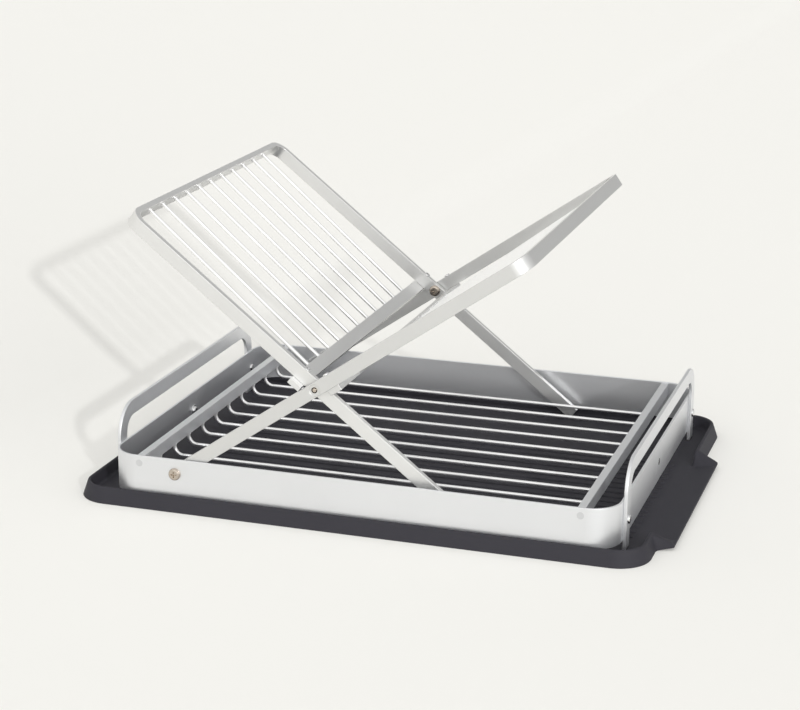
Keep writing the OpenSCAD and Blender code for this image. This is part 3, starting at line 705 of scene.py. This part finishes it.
def makeTray():
    steps = traySteps()
    k = len(rimSection)
    points, faces = [], []
    for (x, y), (nx, ny), section in steps:
        points += [Vector((x - nx * inside, y - ny * inside, z)) * mm for inside, z in section]
    for i in range(len(steps)):
        j = (i + 1) % len(steps)
        faces += [(i * k + q, i * k + q + 1, j * k + q + 1, j * k + q) for q in range(k - 1)]
    faces.append([i * k for i in range(len(steps))])
    faces.append([i * k + k - 1 for i in reversed(range(len(steps)))])
    piece = addMesh("dripTray", points, faces)
    piece.data.validate()
    piece.data.materials.append(trayFinish)
    return piece


dripTray = makeTray()
roundEdges(dripTray, 0, angle=50)
settle(dripTray, "tray", "tray_plastic", "drip_tray")


def layRibs(tree, given):
    # low round-topped ribs along X, on which the basket's water runs off
    rod = swept(tree, straightPath(tree, given), circle(tree, given["Radius"], corners["rib"]))
    cap = ball(tree, given["Radius"], corners["ribEnd"])
    whole = joined(tree, rod, *(moved(tree, cap, given[end]) for end in ("Low End", "High End")))
    return repeatAcross(tree, given, moved(tree, whole, (0, 0, 0), scale=given["Squash"]))


rib = {"count": 16, "pitch": 12.0, "radius": 1.8, "from": -192.95, "to": 213.25, "sink": 0.05, "squash": 0.58}
ribSizes = scaled({
    "Count": rib["count"], "Pitch": rib["pitch"], "Radius": rib["radius"], "Low End": (rib["from"], 0, 0),
    "High End": (rib["to"], 0, 0), "Place": (0, tray["spoutMiddle"], layout["trayFloor"] - rib["sink"]),
    "Turn": (0, 0, 0), "Squash": (1.0, 1.0, rib["squash"]), "Finish": trayFinish})
ribs = growPiece("trayRibs", makeTree("trayRibs", ribSizes, layRibs), ribSizes)
roundEdges(ribs, 0, angle=60)
settle(ribs, "tray", "tray_plastic", "drip_tray")
print("tray moulded")

# the stage, in metres and degrees; raisedNormal is the X of the raised part's normal
sweep = {"foot": -0.347, "slope": 43.7, "bend": 0.1, "bendSteps": 24, "reach": 12.0, "top": 8.0, "skew": 0.059,
         "tones": ("#f6f5f1", "#e8e7e3"), "raisedNormal": 0.69, "glow": "#f4f3ef", "glowShare": 0.2}


def whiteCard():
    material = bpy.data.materials.new("whiteCard")
    material.use_nodes = True
    tree = material.node_tree
    tree.nodes.clear()
    # the raised part faces the lamp and is a little greyer, so that both parts look alike
    normal = addNode(tree, "ShaderNodeNewGeometry").outputs["Normal"]
    facing = addNode(tree, "ShaderNodeSeparateXYZ", {0: normal}).outputs["X"]
    rise = addNode(tree, "ShaderNodeMapRange", {"Value": facing, "From Max": sweep["raisedNormal"]}).outputs[0]
    lit = addNode(tree, "ShaderNodeBsdfDiffuse", {"Color": mixTones(tree, rise, sweep["tones"])}).outputs[0]
    glow = addNode(tree, "ShaderNodeEmission", {"Color": colour(sweep["glow"]), "Strength": 1.0}).outputs[0]
    rays = addNode(tree, "ShaderNodeLightPath").outputs
    seen = maths(tree, "MAXIMUM", rays["Is Camera Ray"], rays["Is Glossy Ray"])
    seen = maths(tree, "MAXIMUM", seen, rays["Is Transmission Ray"])
    share = maths(tree, "MULTIPLY", seen, sweep["glowShare"])
    card = addNode(tree, "ShaderNodeMixShader", {0: share, 1: lit, 2: glow}).outputs[0]
    # seen from behind or from below the card is clear, so that it never hides the drainer
    back = addNode(tree, "ShaderNodeNewGeometry").outputs["Backfacing"]
    clear = addNode(tree, "ShaderNodeBsdfTransparent").outputs[0]
    oneSided = addNode(tree, "ShaderNodeMixShader", {0: back, 1: card, 2: clear}).outputs[0]
    addNode(tree, "ShaderNodeOutputMaterial", {"Surface": oneSided})
    return material


def makeSweep():
    # white card: flat under the tray and bent up on its left, where it catches the racks' shadows
    slope = sweep["slope"] * degree
    cut = sweep["bend"] * math.tan(slope / 2)
    profile = [(sweep["reach"], 0.0)]
    for i in range(sweep["bendSteps"] + 1):
        a = slope * i / sweep["bendSteps"]
        x = sweep["foot"] + cut - sweep["bend"] * math.sin(a)
        profile.append((x, sweep["bend"] * (1 - math.cos(a))))
    profile.append((sweep["foot"] - sweep["top"] * math.cos(slope), sweep["top"] * math.sin(slope)))
    points = []
    for y in (-sweep["reach"], sweep["reach"]):
        points += [(x + sweep["skew"] * y * (i > 0), y, z) for i, (x, z) in enumerate(profile)]
    k = len(profile)
    card = addMesh("cardSweep", points, [(i + 1, i, k + i, k + i + 1) for i in range(k - 1)])
    card.data.polygons.foreach_set("use_smooth", [True] * (k - 1))
    card.data.materials.append(whiteCard())


studio = {"tone": "#fbfbfa", "fall": (0.0, -0.5, -0.15), "level": 1.0}


def makeWorld():
    # a studio that is brightest behind the camera and falls off to the back and overhead
    world = bpy.data.worlds.new("softStudio")
    bpy.context.scene.world = world
    world.use_nodes = True
    tree = world.node_tree
    tree.nodes.clear()
    way = addNode(tree, "ShaderNodeTexCoord").outputs["Generated"]
    fall = addNode(tree, "ShaderNodeVectorMath", {0: way, 1: studio["fall"]}, operation="DOT_PRODUCT")
    level = maths(tree, "ADD", fall.outputs["Value"], studio["level"])
    sky = addNode(tree, "ShaderNodeBackground", {"Color": colour(studio["tone"]), "Strength": level})
    addNode(tree, "ShaderNodeOutputWorld", {"Surface": sky.outputs[0]})


keyLight = {"energy": 1.1, "angle": 2.2, "azimuth": -49.3, "elevation": 19.6}


def makeKeyLight():
    # a small lamp far off to the right of the camera
    lamp = bpy.data.lights.new("keyLight", "SUN")
    lamp.energy = keyLight["energy"]
    lamp.angle = keyLight["angle"] * degree
    key = bpy.data.objects.new("keyLight", lamp)
    bpy.context.scene.collection.objects.link(key)
    az, el = keyLight["azimuth"] * degree, keyLight["elevation"] * degree
    toLight = Vector((math.cos(az) * math.cos(el), math.sin(az) * math.cos(el), math.sin(el)))
    key.rotation_euler = toLight.to_track_quat("Z", "Y").to_euler()


camera = {"azimuth": 17.95, "elevation": 16.7, "roll": 0.32, "target": (-132.21, 346.33, -10.5),
          "distance": 2155.14, "focal": 2030.29, "imageWide": 800, "sensor": 36, "near": 0.05, "far": 40}


def makeCamera():
    # the photograph's view: azimuth from the front towards +X, focal length in pixels of the image
    lens = bpy.data.cameras.new("photoView")
    lens.sensor_width = camera["sensor"]
    lens.lens = camera["focal"] * camera["sensor"] / camera["imageWide"]
    lens.clip_start = camera["near"]
    lens.clip_end = camera["far"]
    view = bpy.data.objects.new("photoView", lens)
    bpy.context.scene.collection.objects.link(view)
    az, el, roll = (camera[key] * degree for key in ("azimuth", "elevation", "roll"))
    back = Vector((math.sin(az) * math.cos(el), -math.cos(az) * math.cos(el), math.sin(el)))
    right = Vector((math.cos(az), math.sin(az), 0))
    up = back.cross(right)
    right, up = right * math.cos(roll) + up * math.sin(roll), up * math.cos(roll) - right * math.sin(roll)
    place = Vector(camera["target"]) * mm + back * camera["distance"] * mm
    view.matrix_world = Matrix.Translation(place) @ Matrix((right, up, back)).transposed().to_4x4()
    bpy.context.scene.camera = view


makeSweep()
makeWorld()
makeKeyLight()
makeCamera()
bpy.context.scene.view_settings.view_transform = "Standard"
print("stage lit")
